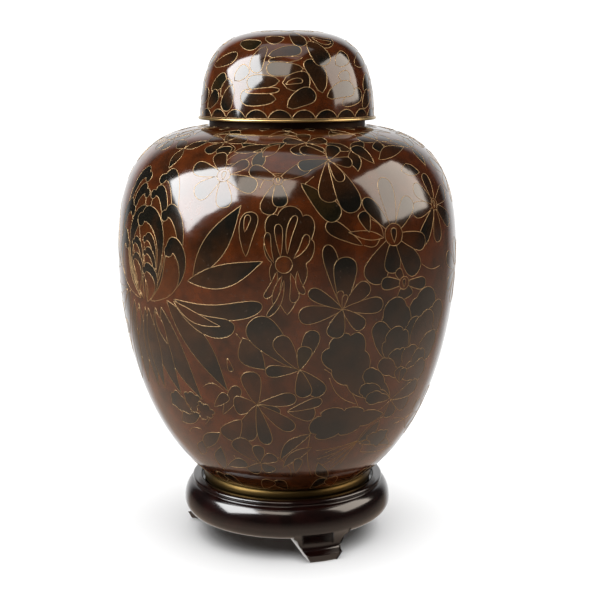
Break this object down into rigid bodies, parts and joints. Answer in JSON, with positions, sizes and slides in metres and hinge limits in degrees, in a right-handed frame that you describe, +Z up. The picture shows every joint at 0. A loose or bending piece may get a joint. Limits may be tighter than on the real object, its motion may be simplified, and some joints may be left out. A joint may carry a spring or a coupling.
{
  "type": "cremation urn",
  "caption": "Cloisonne enamel cremation urn shaped as a ginger jar, with a domed lift-off lid, brass bands and a footed wooden stand; holds cremated remains.",
  "frame": {"origin": "on the urn's axis, in the plane that the undersides of the stand's feet rest on", "axes": "+Z up along the axis from the stand to the lid; the pictured side faces -Y, and +X is to its right"},
  "size_m": [0.18, 0.18, 0.2716],
  "materials": {
    "enamel": "polished cloisonne enamel on copper, rust brown ground with near-black leaves and petals between fine gilt wires",
    "brass": "gilt brass, softly worn",
    "lacquered_wood": "dark red-brown lacquered hardwood, glossy"
  },
  "bodies": {
    "root": {"stand": "lacquered_wood", "foot_band": "brass", "jar": "enamel", "lid_band": "brass", "lid": "enamel"}
  },
  "joints": []
}
